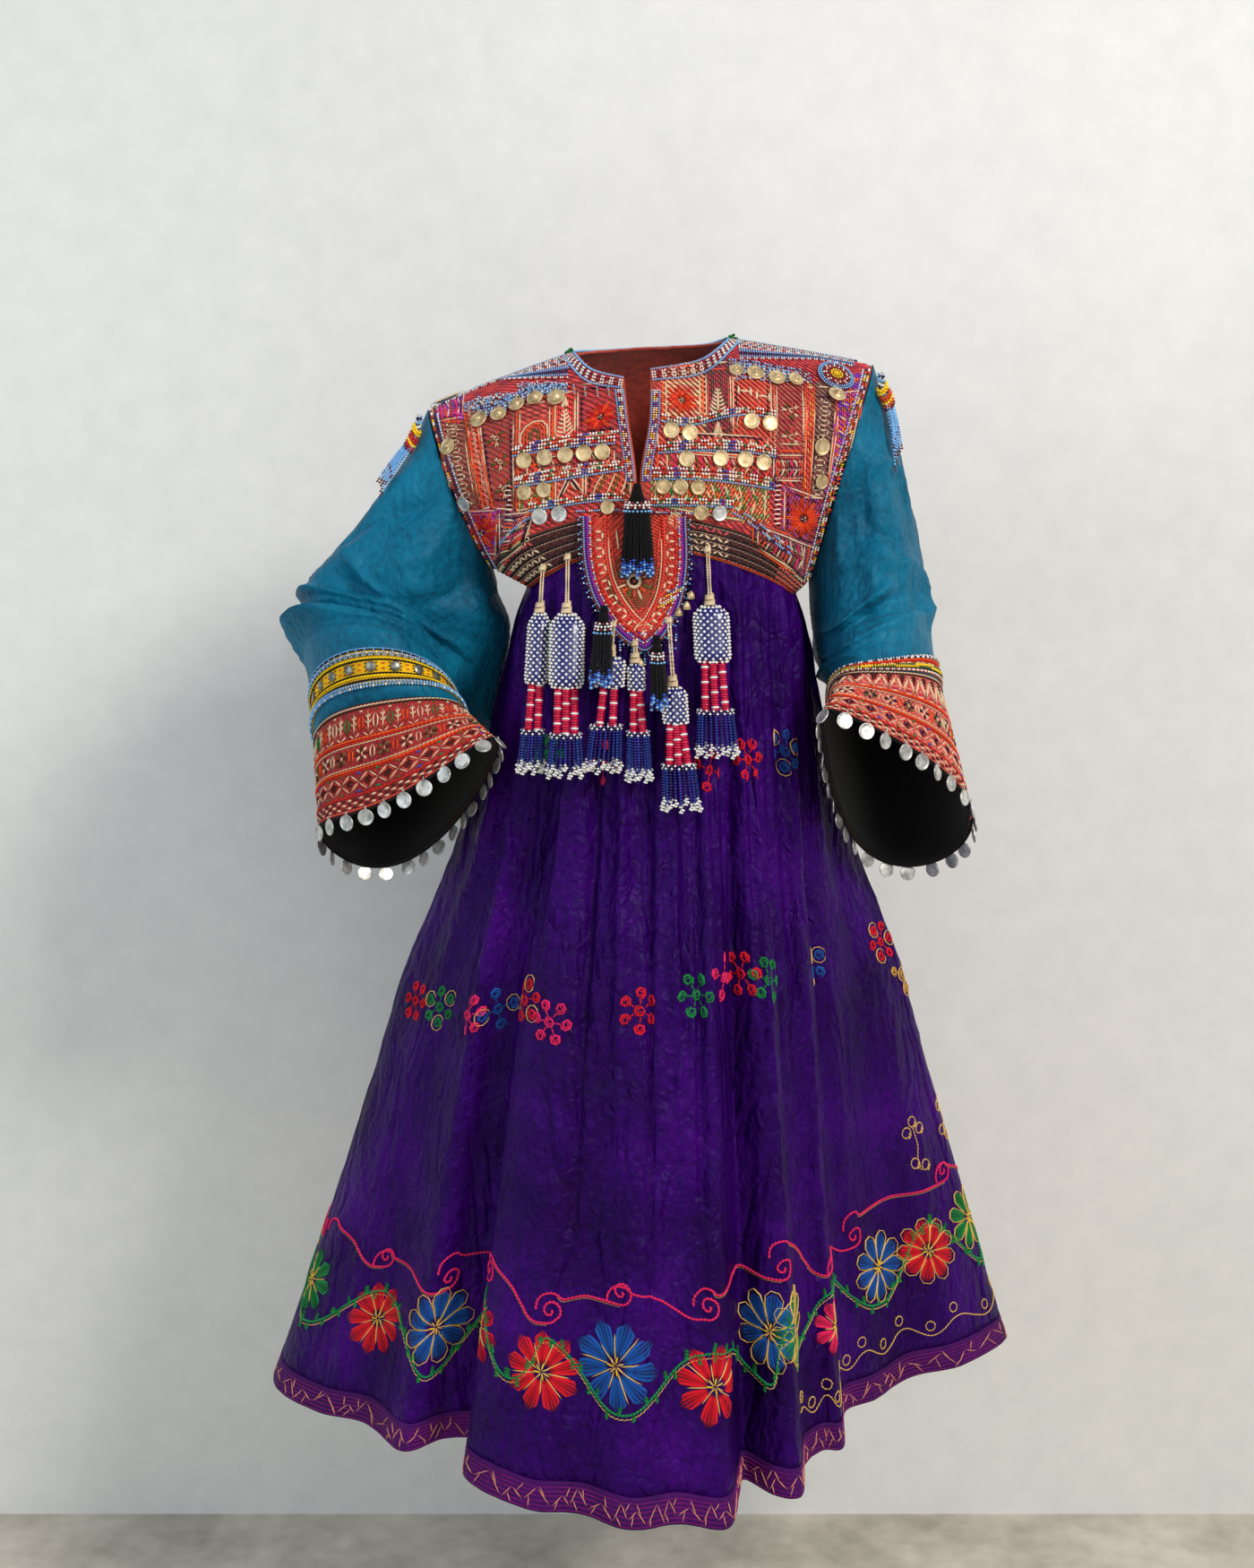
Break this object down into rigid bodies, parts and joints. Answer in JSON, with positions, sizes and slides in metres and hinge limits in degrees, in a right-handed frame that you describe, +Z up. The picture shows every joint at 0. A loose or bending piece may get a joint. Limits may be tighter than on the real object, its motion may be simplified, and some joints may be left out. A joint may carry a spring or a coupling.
{
  "type": "embroidered folk dress",
  "caption": "Long-sleeved dress with an embroidered, bead and coin covered yoke, wide cuffs, hanging tassels and a deep gathered skirt.",
  "frame": {"origin": "middle of the neck at the height of the shoulder seams, in the plane of the side seams, where the wearer's shoulders hold the dress up", "axes": "+Z up, -Y out of the dress's front, +X to the viewer's right from the front (the wearer's left)"},
  "size_m": [0.8387, 0.6462, 1.1551],
  "materials": {
    "embroidered_yoke": "cotton covered in silk stitches, dull",
    "stitched_band": "chain stitched cotton",
    "beaded_bib": "cloth covered in beads",
    "blue_beads": "opaque glass seed beads",
    "white_beads": "opaque glass seed beads",
    "teal_cotton": "plain weave cotton, soft sheen",
    "red_embroidered_cuff": "dense silk embroidery",
    "pink_embroidered_cuff": "dense silk embroidery",
    "black_velvet": "short pile",
    "yellow_trim": "bead and mirror trim",
    "striped_trim": "bead trim",
    "worn_silver": "worn stamped coin metal",
    "purple_cotton": "sateen cotton, faint sheen",
    "magenta_hem": "stitched hem",
    "old_brass": "tarnished stamped brass",
    "beaded_tassel": "beads over thread",
    "black_cord": "twisted cotton cord"
  },
  "bodies": {
    "root": {"armhole_band_left": "white_beads", "armhole_band_right": "white_beads", "bib": "beaded_bib", "coin_row_left_1": "old_brass", "coin_row_left_2": "old_brass", "coin_row_left_3": "old_brass", "coin_row_left_4": "old_brass", "coin_row_right_1": "old_brass", "coin_row_right_2": "old_brass", "coin_row_right_3": "old_brass", "coin_row_right_4": "old_brass", "coin_row_right_5": "old_brass", "cord_tassel_centre": "black_cord", "cord_tassel_left": "black_cord", "cord_tassel_right": "black_cord", "cuff_coins_left": "worn_silver", "cuff_coins_right": "worn_silver", "cuff_left": "red_embroidered_cuff", "cuff_lining_left": "black_velvet", "cuff_lining_right": "black_velvet", "cuff_right": "pink_embroidered_cuff", "cuff_trim_left": "yellow_trim", "cuff_trim_right": "striped_trim", "hem_band_back": "magenta_hem", "hem_band_front": "magenta_hem", "midriff_band_back": "stitched_band", "midriff_band_front": "stitched_band", "neck_band_back": "blue_beads", "neck_band_left": "blue_beads", "neck_band_right": "blue_beads", "rosette": "blue_beads", "shoulder_band_left": "blue_beads", "shoulder_band_right": "blue_beads", "shoulder_tassel_left": "blue_beads", "shoulder_tassel_right": "blue_beads", "skirt_back": "purple_cotton", "skirt_front": "purple_cotton", "sleeve_left": "teal_cotton", "sleeve_right": "teal_cotton", "slit_band_left": "white_beads", "slit_band_right": "white_beads", "tassel_1": "beaded_tassel", "tassel_2": "beaded_tassel", "tassel_3": "beaded_tassel", "tassel_4": "beaded_tassel", "tassel_5": "beaded_tassel", "tassel_6": "beaded_tassel", "yoke_back": "embroidered_yoke", "yoke_front_left": "embroidered_yoke", "yoke_front_right": "embroidered_yoke"}
  },
  "joints": []
}
